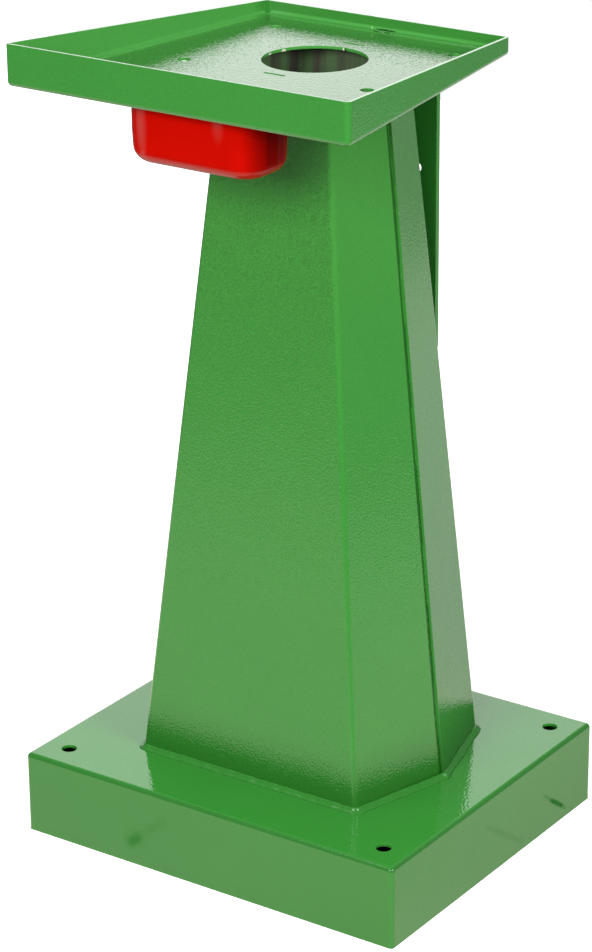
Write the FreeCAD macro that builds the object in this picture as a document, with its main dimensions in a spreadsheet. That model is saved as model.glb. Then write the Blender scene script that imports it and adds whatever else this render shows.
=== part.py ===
"""Bench grinder stand: box base, tapered two-shell column, drip tray and lift-out coolant pot.

Millimetres, +Z up, -Y is the front, origin on the floor at the centre of the overall footprint.
"""
import FreeCAD, Part
import math
import os
import Sketcher

# Driving dimensions. Every other length below is worked out from these.
SIZES = {
    # Base box: an upside-down folded tray, open below.
    "base_width": 453.0,
    "base_depth": 386.0,
    "base_height": 88.0,
    "base_sheet": 3.0,
    "anchor_span_x": 390.0,
    "anchor_span_y": 320.0,
    "anchor_hole": 16.0,
    # Bends and welded corners of the base box and the tray.
    "bend_inside": 1.8,
    "corner_radius": 5.0,
    "corner_weld": 4.0,
    # Column: two folded half-shells that meet halfway between front and rear.
    "column_height": 720.5,
    "column_sheet": 3.0,
    "column_bend_inside": 2.8,
    "foot_width": 264.0,
    "foot_depth": 230.0,
    "top_width": 125.0,
    "top_depth": 140.0,
    "front_flare": 14.0,
    "rear_flare": 15.5,
    "column_lean": 15.0,
    "seam_gap": 0.4,
    "foot_bead": 5.5,
    "top_bead": 4.0,
    "stitch_length": 60.0,
    "stitch_count": 5.0,
    "tab_width": 23.0,
    "tab_recess": 0.5,
    "slot_clearance": 0.3,
    # Tray: a trapezoid in plan, with side rims that fall from the front to the rear.
    "tray_front_width": 390.0,
    "tray_rear_width": 288.0,
    "tray_depth": 358.0,
    "tray_overhang": 25.0,
    "tray_sheet": 3.0,
    "rim_front": 41.5,
    "rim_rear": 18.0,
    "grinder_span_x": 212.0,
    "grinder_span_y": 154.0,
    "grinder_rear_margin": 40.0,
    "grinder_hole": 13.0,
    "cable_hole": 104.0,
    "relief_hole": 3.6,
    # Thick plate that hangs from the rear of the tray.
    "plate_width": 130.0,
    "plate_length": 320.0,
    "plate_thickness": 6.0,
    "plate_hole": 10.0,
    "plate_hole_span": 84.0,
    "plate_hole_drop": 128.0,
    "plate_slot_height": 3.8,
    "plate_bead": 4.0,
    # Coolant pot: hangs in the tray by its rim and lifts out.
    "pot_width": 155.0,
    "pot_depth": 76.0,
    "pot_height": 63.5,
    "pot_setback": 58.0,
    "pot_corner": 30.0,
    "pot_bottom_radius": 16.0,
    "pot_inner_chamfer": 10.0,
    "pot_wall": 2.5,
    "pot_draft": 1.4,
    "pot_rim_width": 8.0,
    "pot_clearance": 1.0,
}

doc = FreeCAD.newDocument("bench_grinder_stand")
book = doc.addObject("Spreadsheet::Sheet", "Sizes")
for row, (alias, number) in enumerate(SIZES.items(), start=1):
    book.set(f"A{row}", alias)
    book.set(f"B{row}", str(number))
    book.setAlias(f"B{row}", alias)
doc.recompute()


class Size:
    """A number together with the spreadsheet formula that gives it."""

    def __init__(self, value, formula):
        self.value = value
        self.formula = formula

    def __add__(self, other):
        other = as_size(other)
        return Size(self.value + other.value, f"({self.formula} + {other.formula})")

    def __sub__(self, other):
        other = as_size(other)
        return Size(self.value - other.value, f"({self.formula} - {other.formula})")

    def __mul__(self, other):
        other = as_size(other)
        return Size(self.value * other.value, f"({self.formula} * {other.formula})")

    def __truediv__(self, other):
        other = as_size(other)
        return Size(self.value / other.value, f"({self.formula} / {other.formula})")

    def __neg__(self):
        return Size(-self.value, f"(0 - {self.formula})")


def as_size(number):
    return number if isinstance(number, Size) else Size(float(number), f"{number}")


def size(alias):
    return Size(book.get(alias), f"Sizes.{alias}")


def tangent(angle):
    return Size(math.tan(math.radians(angle.value)), f"tan({angle.formula})")


def cosine(angle):
    return Size(math.cos(math.radians(angle.value)), f"cos({angle.formula})")


ZERO = as_size(0)
TOUCHING = 0.01
START = 1
END = 2

# Where things are, from front to rear and from the floor up.
tray_front_y = -(size("base_depth") + size("tray_overhang")) / 2
base_front_y = tray_front_y + size("tray_overhang")
foot_y = base_front_y + size("base_depth") / 2
top_y = foot_y + size("column_lean")
tray_rear_y = tray_front_y + size("tray_depth")
pot_y = tray_front_y + size("pot_setback")
tray_z = size("base_height") + size("column_height")
tray_floor_z = tray_z + size("tray_sheet")


# ---- Sketches and features ------------------------------------------------------------------


def new_body(label):
    body = doc.addObject("PartDesign::Body", label)
    body.Label = label
    return body


def new_sketch(body, name, plane="XY_Plane", offset=ZERO):
    """An empty sketch on one of the body's origin planes, moved along its normal."""
    sketch = body.newObject("Sketcher::SketchObject", name)
    support = [item for item in body.Origin.OriginFeatures if item.Role == plane][0]
    sketch.AttachmentSupport = [(support, "")]
    sketch.MapMode = "FlatFace"
    sketch.setExpression("AttachmentOffset.Base.z", offset.formula)
    sketch.AttachmentOffset = FreeCAD.Placement(
        FreeCAD.Vector(0, 0, offset.value), FreeCAD.Rotation()
    )
    return sketch


def pin_point(sketch, item, point, place):
    """Hold one point of a sketch item at a place measured from the sketch's origin."""
    for kind, length in zip(("DistanceX", "DistanceY"), place):
        index = sketch.addConstraint(
            Sketcher.Constraint(kind, -1, 1, item, point, length.value)
        )
        sketch.setExpression(f"Constraints[{index}]", length.formula)


def round_corner(before, here, after, radius):
    """Tangent points, centre and turn of the arc that rounds one corner of an outline."""
    back = (before - here).normalize()
    ahead = (after - here).normalize()
    half = back.getAngle(ahead) / 2
    reach = radius / math.tan(half)
    bisector = (back + ahead).normalize()
    centre = here + bisector * (radius / math.sin(half))
    turns_left = (here - before).cross(after - here).z > 0
    return here + back * reach, here + ahead * reach, centre, turns_left


def corner_arcs(corners):
    """The rounding of every corner of a closed outline of (x, y, radius), in plain numbers."""
    count = len(corners)
    points = [FreeCAD.Vector(x, y, 0) for x, y, _ in corners]
    return [
        round_corner(points[i - 1], points[i], points[(i + 1) % count], corners[i][2])
        for i in range(count)
    ]


def draw_outline(sketch, corners):
    """Closed outline through corners given as (x, y, radius); a radius of ZERO stays sharp."""
    count = len(corners)
    first = sketch.GeometryCount
    arcs = corner_arcs([tuple(item.value for item in corner) for corner in corners])
    for i in range(count):
        start = arcs[i][1]
        end = arcs[(i + 1) % count][0]
        sketch.addGeometry(Part.LineSegment(start, end))
    for i, (x, y, radius) in enumerate(corners):
        incoming = first + (i - 1) % count
        outgoing = first + i
        if radius.value == 0:
            sketch.addConstraint(
                Sketcher.Constraint("Coincident", incoming, END, outgoing, START)
            )
            pin_point(sketch, outgoing, START, (x, y))
            continue
        start, end, centre, turns_left = arcs[i]
        if not turns_left:
            start, end = end, start
        circle = Part.Circle(centre, FreeCAD.Vector(0, 0, 1), radius.value)
        arc = sketch.addGeometry(
            Part.ArcOfCircle(circle, circle.parameter(start), circle.parameter(end))
        )
        arc_start, arc_end = (START, END) if turns_left else (END, START)
        sketch.addConstraint(Sketcher.Constraint("Tangent", arc, arc_start, incoming, END))
        sketch.addConstraint(Sketcher.Constraint("Tangent", arc, arc_end, outgoing, START))
        index = sketch.addConstraint(Sketcher.Constraint("Radius", arc, radius.value))
        sketch.setExpression(f"Constraints[{index}]", radius.formula)
        apex = sketch.addGeometry(Part.Point(FreeCAD.Vector(x.value, y.value, 0)), True)
        pin_point(sketch, apex, START, (x, y))
        for side in (incoming, outgoing):
            sketch.addConstraint(Sketcher.Constraint("PointOnObject", apex, START, side))


def draw_rectangle(sketch, width, depth, middle=None, radius=None):
    x, y = middle or (ZERO, ZERO)
    half_w = width / 2
    half_d = depth / 2
    radius = radius or ZERO
    draw_outline(
        sketch,
        [
            (x - half_w, y - half_d, radius),
            (x + half_w, y - half_d, radius),
            (x + half_w, y + half_d, radius),
            (x - half_w, y + half_d, radius),
        ],
    )


def draw_circle(sketch, middle, diameter):
    x, y = middle
    item = sketch.addGeometry(
        Part.Circle(
            FreeCAD.Vector(x.value, y.value, 0), FreeCAD.Vector(0, 0, 1), diameter.value / 2
        )
    )
    pin_point(sketch, item, 3, middle)
    index = sketch.addConstraint(Sketcher.Constraint("Diameter", item, diameter.value))
    sketch.setExpression(f"Constraints[{index}]", diameter.formula)


def pad(body, name, sketch, length, reverse=False, draft=None, midplane=False):
    feature = body.newObject("PartDesign::Pad", name)
    feature.Profile = sketch
    feature.setExpression("Length", length.formula)
    feature.Reversed = reverse
    feature.Midplane = midplane
    if draft is not None:
        feature.setExpression("TaperAngle", draft.formula)
    doc.recompute()
    return feature


def pocket(
    body, name, sketch, length, reverse=False, draft=None, midplane=False, slant=None
):
    """A cut that has to remove material, straight or along a slanting direction."""
    before = body.Tip.Shape.Volume
    feature = body.newObject("PartDesign::Pocket", name)
    feature.Profile = sketch
    feature.setExpression("Length", length.formula)
    feature.Reversed = reverse
    feature.Midplane = midplane
    if draft is not None:
        feature.setExpression("TaperAngle", draft.formula)
    if slant is not None:
        feature.UseCustomVector = True
        feature.AlongSketchNormal = True
        for axis, run in zip("xyz", slant):
            feature.setExpression(f"Direction.{axis}", run.formula)
    doc.recompute()
    if feature.Shape.Volume >= before:
        raise RuntimeError(f"{name} cuts nothing")
    return feature


def mirror(body, name, feature):
    """The same feature on the other side of the middle plane."""
    middle = [item for item in body.Origin.OriginFeatures if item.Role == "YZ_Plane"][0]
    mirrored = body.newObject("PartDesign::Mirrored", name)
    mirrored.Originals = [feature]
    mirrored.MirrorPlane = (middle, [""])
    body.Tip = mirrored
    doc.recompute()
    return mirrored


def fillet(body, name, radius, edges):
    base = body.Tip
    feature = body.newObject("PartDesign::Fillet", name)
    feature.Base = (base, edges)
    feature.setExpression("Radius", radius.formula)
    doc.recompute()
    return feature


def chamfer(body, name, leg, edges):
    base = body.Tip
    feature = body.newObject("PartDesign::Chamfer", name)
    feature.Base = (base, edges)
    feature.setExpression("Size", leg.formula)
    doc.recompute()
    return feature


def lies_level(item, height):
    """Whether an edge or face lies in the horizontal plane at the height given."""
    box = item.BoundBox
    return max(abs(box.ZMin - height.value), abs(box.ZMax - height.value)) < TOUCHING


def level_edges(shape, height):
    return [
        f"Edge{number}"
        for number, edge in enumerate(shape.Edges, start=1)
        if lies_level(edge, height)
    ]


def level_faces(shape, height):
    return [
        f"Face{number}"
        for number, face in enumerate(shape.Faces, start=1)
        if lies_level(face, height)
    ]


def edges_through(shape, places, height):
    """Names of the rising edges that start at the places given in the plane at that height."""
    starts = [FreeCAD.Vector(x.value, y.value, height.value) for x, y in places]
    names = []
    for number, edge in enumerate(shape.Edges, start=1):
        ends = [vertex.Point for vertex in edge.Vertexes]
        meets = any(end.distanceToPoint(start) < TOUCHING for end in ends for start in starts)
        if meets and not lies_level(edge, height):
            names.append(f"Edge{number}")
    return names


def furthest_face(shape, direction):
    """Name of the face whose middle lies furthest towards +Y, or towards -Y."""
    places = [direction * face.CenterOfMass.y for face in shape.Faces]
    return f"Face{places.index(max(places)) + 1}"


def mirrored_pair(x, y):
    return [(-x, y), (x, y)]


def four_corners(span_x, span_y, middle_y):
    rows = (middle_y - span_y / 2, middle_y + span_y / 2)
    return [place for y in rows for place in mirrored_pair(span_x / 2, y)]


def new_solid(label, shape):
    piece = doc.addObject("Part::Feature", label)
    piece.Shape = shape
    piece.Label = label
    return piece


# ---- Base box -------------------------------------------------------------------------------

bend_outside = size("bend_inside") + size("base_sheet")
tray_bend_outside = size("bend_inside") + size("tray_sheet")


def make_base_box():
    body = new_body("base_box")
    width = size("base_width")
    depth = size("base_depth")
    height = size("base_height")
    sheet = size("base_sheet")
    middle = (ZERO, foot_y)
    corner = size("corner_radius")
    outline = new_sketch(body, "base_outline")
    draw_rectangle(outline, width, depth, middle, corner)
    pad(body, "base_block", outline, height)
    fillet(body, "base_top_bends", bend_outside, level_edges(body.Tip.Shape, height))

    hollow = new_sketch(body, "base_hollow_outline")
    draw_rectangle(hollow, width - sheet * 2, depth - sheet * 2, middle)
    pocket(body, "base_hollow", hollow, height - sheet, reverse=True)
    fillet(
        body, "base_inner_bends", size("bend_inside"),
        level_edges(body.Tip.Shape, height - sheet),
    )
    anchors = new_sketch(body, "anchor_circles", offset=height)
    for place in four_corners(size("anchor_span_x"), size("anchor_span_y"), foot_y):
        draw_circle(anchors, place, size("anchor_hole"))
    pocket(body, "anchor_holes", anchors, sheet * 2)
    return body


# ---- Column ---------------------------------------------------------------------------------

half_foot_depth = size("foot_depth") / 2
half_top_depth = size("top_depth") / 2
column_bend_outside = size("column_bend_inside") + size("column_sheet")
rear_sheet_across = size("column_sheet") / cosine(size("rear_flare"))


class Level:
    """The column's plan at one height: half-widths of its faces, and where they lie."""

    def __init__(self, height, middle_y, front_width, half_depth):
        self.z = height
        self.y = middle_y
        self.front_y = middle_y - half_depth
        self.rear_y = middle_y + half_depth
        self.front_x = front_width / 2
        self.seam_x = self.front_x + tangent(size("front_flare")) * half_depth
        self.lap_inner_x = self.seam_x + size("seam_gap")
        self.lap_outer_x = self.lap_inner_x + rear_sheet_across
        self.rear_x = self.lap_outer_x - tangent(size("rear_flare")) * half_depth


foot = Level(size("base_height"), foot_y, size("foot_width"), half_foot_depth)
top = Level(tray_z, top_y, size("top_width"), half_top_depth)


class Half:
    """One folded half of the column: its face, which way that looks, and its flaring sides."""

    def __init__(self, name, facing, flare, edge):
        self.label = f"column_{name}_shell"
        self.facing = facing
        self.flare = tangent(size(flare))
        self.face_x = f"{name}_x"
        self.face_y = f"{name}_y"
        self.edge_x = edge

    def corners(self, level):
        """Face corner and edge corner of the right-hand side at one level."""
        face = (getattr(level, self.face_x), getattr(level, self.face_y))
        edge = (getattr(level, self.edge_x), level.y)
        return face, edge


front_half = Half("front", -1, "front_flare", "seam_x")
rear_half = Half("rear", 1, "rear_flare", "lap_outer_x")


def make_half_block(body, half):
    """The space inside one half's outer surface: sloping face, flaring sides, rounded bends."""
    (low_face_x, low_face_y), (low_edge_x, low_edge_y) = half.corners(foot)
    (high_face_x, high_face_y), (high_edge_x, high_edge_y) = half.corners(top)
    profile = new_sketch(body, f"{half.label}_profile", plane="YZ_Plane")
    draw_outline(
        profile,
        [
            (low_face_y, foot.z, ZERO),
            (low_edge_y, foot.z, ZERO),
            (high_edge_y, top.z, ZERO),
            (high_face_y, top.z, ZERO),
        ],
    )
    beyond = size("foot_width")
    pad(body, f"{half.label}_block", profile, beyond * 2, midplane=True)

    waste = new_sketch(body, f"{half.label}_waste", offset=foot.z)
    overshoot = half.flare * beyond
    draw_outline(
        waste,
        [
            (low_face_x - overshoot, low_face_y + beyond * half.facing, ZERO),
            (low_edge_x + overshoot, low_edge_y - beyond * half.facing, ZERO),
            (beyond * 2, low_edge_y - beyond * half.facing, ZERO),
            (beyond * 2, low_face_y + beyond * half.facing, ZERO),
        ],
    )
    side = pocket(
        body, f"{half.label}_side", waste, top.z - foot.z,
        slant=(high_edge_x - low_edge_x, high_edge_y - low_edge_y, top.z - foot.z),
    )
    mirror(body, f"{half.label}_other_side", side)
    bends = edges_through(
        body.Tip.Shape, mirrored_pair(low_face_x, low_face_y), foot.z
    )
    fillet(body, f"{half.label}_bends", column_bend_outside, bends)
    return body.Tip.Shape.copy()


def make_shell(half, tab_y):
    """One folded half, and the tab that locates it in the tray."""
    body = new_body(half.label)
    block = make_half_block(body, half)
    open_faces = level_faces(block, foot.z) + level_faces(block, top.z)
    open_faces.append(furthest_face(block, -half.facing))
    filled = body.Tip
    folded = body.newObject("PartDesign::Thickness", f"{half.label}_sheet")
    folded.Base = (filled, open_faces)
    folded.setExpression("Value", size("column_sheet").formula)
    folded.Reversed = True
    doc.recompute()
    tab = new_sketch(body, f"{half.label}_tab_outline", offset=tray_z)
    draw_rectangle(tab, size("tab_width"), size("column_sheet"), (ZERO, tab_y))
    pad(body, f"{half.label}_tab", tab, size("tray_sheet") - size("tab_recess"))
    return body, block


front_tab_y = top.front_y + size("column_sheet") / 2
rear_tab_y = top.rear_y - size("column_sheet") / 2


# ---- Welds of the column ----------------------------------------------------------------------


def at_height(height):
    """The column's plan as plain numbers at any height, drawn straight between its two ends."""
    share = (height - foot.z.value) / (top.z.value - foot.z.value)
    return {
        name: low.value + (getattr(top, name).value - low.value) * share
        for name, low in vars(foot).items()
    }


def outline_wire(corners, height):
    """Closed wire through corners of plain numbers (x, y, radius) at the height given."""
    arcs = corner_arcs(corners)
    lift = FreeCAD.Vector(0, 0, height)
    edges = []
    for i, (start, end, centre, _) in enumerate(arcs):
        radius = corners[i][2]
        if radius > 0:
            outwards = FreeCAD.Vector(corners[i][0], corners[i][1], 0) - centre
            crest = centre + outwards.normalize() * radius
            edges.append(Part.Arc(start + lift, crest + lift, end + lift).toShape())
        following = arcs[(i + 1) % len(arcs)][0]
        edges.append(Part.makeLine(end + lift, following + lift))
    return Part.Wire(edges)


def both_sides(right_side):
    """A closed plan from its right side, read from front to rear."""
    return right_side + [(-x, y, radius) for x, y, radius in reversed(right_side)]


def block_between(low_corners, low, high_corners, high):
    wires = [outline_wire(low_corners, low), outline_wire(high_corners, high)]
    return Part.makeLoft(wires, True, True)


def bead_plan(height, grow):
    """Six-sided plan round the whole column, moved outwards by the amount given."""
    plan = at_height(height)
    bend = column_bend_outside.value + grow
    corners = both_sides(
        [
            (plan["front_x"], plan["front_y"], bend),
            (plan["lap_outer_x"], plan["y"], bend),
            (plan["rear_x"], plan["rear_y"], bend),
        ]
    )
    count = len(corners)
    return [
        moved_corner(corners[i - 1], corners[i], corners[(i + 1) % count], grow)
        for i in range(count)
    ]


def moved_corner(before, here, after, grow):
    """A corner of a counter-clockwise outline after both its sides move out by grow."""
    normals = []
    for start, end in ((before, here), (here, after)):
        length = math.hypot(end[0] - start[0], end[1] - start[1])
        normals.append(((end[1] - start[1]) / length, (start[0] - end[0]) / length))
    (ax, ay), (bx, by) = normals
    share = grow / (1 + ax * bx + ay * by)
    return (here[0] + (ax + bx) * share, here[1] + (ay + by) * share, here[2])


def make_ring_bead(label, seat_height, leg, upwards, blocks):
    """Fillet bead round the column, on the flat sheet that the column stands on or carries."""
    tip_inside = 0.4
    tip_height = seat_height + leg * upwards
    bead = block_between(
        bead_plan(seat_height, leg), seat_height, bead_plan(tip_height, -tip_inside), tip_height
    )
    for block in blocks:
        bead = bead.cut(block)
    return new_solid(label, bead)


def make_seam_welds(shells):
    """Stitches inside the column, in the corner between the two half-shells."""
    leg = size("column_sheet").value
    length = size("stitch_length").value
    count = round(size("stitch_count").value)
    pitch = (top.z.value - foot.z.value) / count
    lead_in = (pitch - length) / 2
    slope = tangent(size("rear_flare")).value
    beads = []
    for number in range(count):
        start = foot.z.value + pitch * number + lead_in
        for side in (-1, 1):
            ends = []
            for height in (start, start + length):
                plan = at_height(height)
                corner = plan["lap_inner_x"]
                triangle = [
                    (side * corner, plan["y"], 0),
                    (side * (corner - leg), plan["y"], 0),
                    (side * (corner - slope * leg), plan["y"] + leg, 0),
                ]
                ends.append(outline_wire(triangle, height))
            bead = Part.makeLoft(ends, True, True)
            for shell in shells:
                bead = bead.cut(shell.Shape)
            beads.extend(bead.Solids)
    return new_solid("column_seam_welds", Part.makeCompound(beads))


# ---- Tray -----------------------------------------------------------------------------------

tray_side_slope = (size("tray_front_width") - size("tray_rear_width")) / 2 / size("tray_depth")
tray_side_angle = math.atan(tray_side_slope.value)


def tray_half_width(y):
    """Outside half-width of the tray at a place between its front and its rear."""
    return size("tray_front_width") / 2 - tray_side_slope * (y - tray_front_y)


def tray_plan(inset, radius=ZERO):
    """The tray's outline, moved in from every side by the same thickness."""
    along_side = Size(
        1 / math.cos(tray_side_angle), f"sqrt(1 + {tray_side_slope.formula} ^ 2)"
    )
    front_y = tray_front_y + inset
    rear_y = tray_rear_y - inset
    front_x = tray_half_width(front_y) - inset * along_side
    rear_x = tray_half_width(rear_y) - inset * along_side
    return [
        (-front_x, front_y, radius),
        (front_x, front_y, radius),
        (rear_x, rear_y, radius),
        (-rear_x, rear_y, radius),
    ]


def rim_height(y):
    fall = (size("rim_front") - size("rim_rear")) / size("tray_depth")
    return size("rim_front") - fall * (y - tray_front_y)


def make_tray():
    body = new_body("tray")
    sheet = size("tray_sheet")
    rim_front_z = tray_z + size("rim_front")
    rim_rear_z = tray_z + size("rim_rear")

    corner = size("corner_radius")
    outline = new_sketch(body, "tray_outline", offset=tray_z)
    draw_outline(outline, tray_plan(ZERO, corner))
    pad(body, "tray_block", outline, size("rim_front"))
    fillet(body, "tray_bends", tray_bend_outside, level_edges(body.Tip.Shape, tray_z))

    hollow = new_sketch(body, "tray_hollow_outline", offset=tray_floor_z)
    draw_outline(hollow, tray_plan(sheet))
    pocket(body, "tray_hollow", hollow, size("rim_front"), reverse=True)
    fillet(
        body, "tray_inner_bends", size("bend_inside"),
        level_edges(body.Tip.Shape, tray_floor_z),
    )

    beyond = size("rim_front")
    fall = new_sketch(body, "rim_fall_outline", plane="YZ_Plane")
    draw_outline(
        fall,
        [
            (tray_front_y, rim_front_z, ZERO),
            (tray_rear_y, rim_rear_z, ZERO),
            (tray_rear_y + beyond, rim_rear_z, ZERO),
            (tray_rear_y + beyond, rim_front_z + beyond, ZERO),
            (tray_front_y, rim_front_z + beyond, ZERO),
        ],
    )
    pocket(body, "rim_fall", fall, size("tray_front_width") * 2, midplane=True)

    holes = new_sketch(body, "tray_hole_circles", offset=tray_floor_z)
    draw_circle(holes, (ZERO, top_y), size("cable_hole"))
    grinder_y = tray_rear_y - size("grinder_rear_margin") - size("grinder_span_y") / 2
    for place in four_corners(size("grinder_span_x"), size("grinder_span_y"), grinder_y):
        draw_circle(holes, place, size("grinder_hole"))
    for x, y, _ in tray_plan(sheet + size("relief_hole") / 2):
        draw_circle(holes, (x, y), size("relief_hole"))
    pocket(body, "tray_holes", holes, sheet * 2)

    slots = new_sketch(body, "tab_slot_outlines", offset=tray_floor_z)
    gap = size("slot_clearance") * 2
    for tab_y in (front_tab_y, rear_tab_y):
        draw_rectangle(
            slots, size("tab_width") + gap, size("column_sheet") + gap, (ZERO, tab_y)
        )
    pocket(body, "tab_slots", slots, sheet * 2)

    plate_slot = new_sketch(body, "plate_slot_outline", offset=tray_z)
    plate_y = tray_rear_y - size("plate_thickness") / 2
    draw_rectangle(
        plate_slot, size("tab_width") + gap, size("plate_thickness") + gap, (ZERO, plate_y)
    )
    pocket(body, "plate_slot", plate_slot, size("plate_slot_height"), reverse=True)

    well = new_sketch(body, "pot_opening_outline", offset=tray_floor_z)
    room = size("pot_clearance")
    draw_rectangle(
        well,
        size("pot_width") + room * 2,
        size("pot_depth") + room * 2,
        (ZERO, pot_y),
        size("pot_corner") + room,
    )
    pocket(body, "pot_opening", well, sheet * 2)
    return body


def corner_beads(plan, low, highs, carrier):
    """Upright beads in the inner corners of a folded box, cut back to the box's own surface."""
    leg = size("corner_weld").value
    corners = [FreeCAD.Vector(x.value, y.value, low) for x, y, *_ in plan]
    beads = []
    for i, (here, high) in enumerate(zip(corners, highs)):
        neighbours = (corners[i - 1], corners[(i + 1) % len(corners)])
        legs = [here + (other - here).normalize() * leg for other in neighbours]
        face = Part.Face(Part.makePolygon([here, *legs, here]))
        bead = face.extrude(FreeCAD.Vector(0, 0, high - low))
        beads.append(bead.cut(carrier.Shape))
    return Part.makeCompound(beads)


def make_tray_corner_welds(tray):
    inner = tray_plan(size("tray_sheet"))
    above_floor = size("bend_inside") + size("relief_hole") / 2
    low = (tray_floor_z + above_floor).value
    below_rim = 1.0
    highs = [(tray_z + rim_height(y)).value - below_rim for _, y, _ in inner]
    return new_solid("tray_corner_welds", corner_beads(inner, low, highs, tray))


def make_base_corner_welds(base_box):
    sheet = size("base_sheet")
    inner = four_corners(
        size("base_width") - sheet * 2, size("base_depth") - sheet * 2, foot_y
    )
    around = [inner[0], inner[1], inner[3], inner[2]]
    high = (size("base_height") - bend_outside).value
    return new_solid(
        "base_corner_welds", corner_beads(around, sheet.value, [high] * 4, base_box)
    )


# ---- Rear plate -----------------------------------------------------------------------------


def make_rear_plate():
    body = new_body("rear_plate")
    half = size("plate_width") / 2
    half_tab = size("tab_width") / 2
    low = tray_z - size("plate_length")
    tab_z = tray_z + size("plate_slot_height") - size("slot_clearance")
    outline = new_sketch(body, "plate_outline", plane="XZ_Plane", offset=-tray_rear_y)
    corner = size("corner_radius")
    draw_outline(
        outline,
        [
            (-half, low, corner),
            (half, low, corner),
            (half, tray_z, ZERO),
            (half_tab, tray_z, ZERO),
            (half_tab, tab_z, ZERO),
            (-half_tab, tab_z, ZERO),
            (-half_tab, tray_z, ZERO),
            (-half, tray_z, ZERO),
        ],
    )
    for place in mirrored_pair(size("plate_hole_span") / 2, tray_z - size("plate_hole_drop")):
        draw_circle(outline, place, size("plate_hole"))
    pad(body, "plate_block", outline, size("plate_thickness"))
    return body


def make_rear_plate_weld():
    body = new_body("rear_plate_weld")
    front_y = tray_rear_y - size("plate_thickness")
    leg = size("plate_bead")
    section = new_sketch(body, "plate_bead_section", plane="YZ_Plane")
    draw_outline(
        section,
        [
            (front_y, tray_z, ZERO),
            (front_y - leg, tray_z, ZERO),
            (front_y, tray_z - leg, ZERO),
        ],
    )
    pad(body, "plate_bead", section, size("plate_width") - leg * 2, midplane=True)
    return body


# ---- Coolant pot ----------------------------------------------------------------------------


def make_coolant_pot():
    body = new_body("coolant_pot")
    wall = size("pot_wall")
    middle = (ZERO, pot_y)
    outside = new_sketch(body, "pot_outline", offset=tray_floor_z)
    draw_rectangle(
        outside, size("pot_width"), size("pot_depth"), middle, size("pot_corner")
    )
    pad(
        body, "pot_block", outside, size("pot_height"), reverse=True, draft=-size("pot_draft")
    )
    bottom_z = tray_floor_z - size("pot_height")
    hollow = new_sketch(body, "pot_hollow_outline", offset=tray_floor_z)
    draw_rectangle(
        hollow,
        size("pot_width") - wall * 2,
        size("pot_depth") - wall * 2,
        middle,
        size("pot_corner") - wall,
    )
    pocket(body, "pot_hollow", hollow, size("pot_height") - wall, draft=-size("pot_draft"))
    chamfer(
        body, "pot_inner_chamfer", size("pot_inner_chamfer"),
        level_edges(body.Tip.Shape, bottom_z + wall),
    )
    fillet(
        body, "pot_bottom_round", size("pot_bottom_radius"),
        level_edges(body.Tip.Shape, bottom_z),
    )

    rim = new_sketch(body, "pot_rim_outline", offset=tray_floor_z)
    grow = size("pot_rim_width")
    draw_rectangle(
        rim,
        size("pot_width") + grow * 2,
        size("pot_depth") + grow * 2,
        middle,
        size("pot_corner") + grow,
    )
    draw_rectangle(
        rim,
        size("pot_width") - wall * 2,
        size("pot_depth") - wall * 2,
        middle,
        size("pot_corner") - wall,
    )
    pad(body, "pot_rim", rim, wall)
    return body


# ---- Build, check and write -----------------------------------------------------------------

base = make_base_box()
tray_body = make_tray()
front_shell, front_block = make_shell(front_half, front_tab_y)
rear_shell, rear_block = make_shell(rear_half, rear_tab_y)
blocks = (front_block, rear_block)
pieces = [
    base,
    make_base_corner_welds(base),
    front_shell,
    rear_shell,
    make_seam_welds([front_shell, rear_shell]),
    make_ring_bead("column_foot_weld", foot.z.value, size("foot_bead").value, 1, blocks),
    make_ring_bead("column_top_weld", top.z.value, size("top_bead").value, -1, blocks),
    tray_body,
    make_tray_corner_welds(tray_body),
    make_rear_plate(),
    make_rear_plate_weld(),
    make_coolant_pot(),
]
doc.recompute()

for item in doc.Objects:
    if "Invalid" in item.State or "Error" in item.State:
        raise RuntimeError(f"{item.Name} failed to build")
for piece in pieces:
    if piece.Shape.isNull() or not piece.Shape.isValid():
        raise RuntimeError(f"{piece.Label} has no valid shape")

os.makedirs("parts", exist_ok=True)
for piece in pieces:
    piece.Shape.exportStep(os.path.join("parts", f"{piece.Label}.step"))
    box = piece.Shape.BoundBox
    print(
        f"{piece.Label}: {len(piece.Shape.Solids)} solid(s), {piece.Shape.Volume / 1000:.1f} cm3, "
        f"{box.XLength:.1f} x {box.YLength:.1f} x {box.ZLength:.1f} mm"
    )
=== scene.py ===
"""Looks of the bench grinder stand: glossy powder coat, painted welds, a red pot and studio light.

Metres, +Z up, -Y is the front, origin on the floor below the centre of the overall footprint.
"""

import bpy
import math
from mathutils import Matrix, Vector


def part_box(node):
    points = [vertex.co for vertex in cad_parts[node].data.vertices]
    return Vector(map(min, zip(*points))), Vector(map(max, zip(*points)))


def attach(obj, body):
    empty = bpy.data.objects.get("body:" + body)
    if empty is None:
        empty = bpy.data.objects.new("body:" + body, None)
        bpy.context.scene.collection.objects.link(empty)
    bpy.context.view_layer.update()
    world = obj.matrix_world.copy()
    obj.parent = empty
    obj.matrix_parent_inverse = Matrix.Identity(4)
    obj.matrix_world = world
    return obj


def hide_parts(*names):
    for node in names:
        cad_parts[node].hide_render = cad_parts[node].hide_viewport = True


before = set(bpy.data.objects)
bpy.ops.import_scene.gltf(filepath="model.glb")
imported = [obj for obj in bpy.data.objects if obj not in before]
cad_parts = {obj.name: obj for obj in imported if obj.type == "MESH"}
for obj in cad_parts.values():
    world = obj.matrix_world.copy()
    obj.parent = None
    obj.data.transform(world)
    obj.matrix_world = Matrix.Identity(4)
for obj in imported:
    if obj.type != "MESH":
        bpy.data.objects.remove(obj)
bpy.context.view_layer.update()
MM = 0.001


# ---- Shader trees ---------------------------------------------------------------------------


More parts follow.
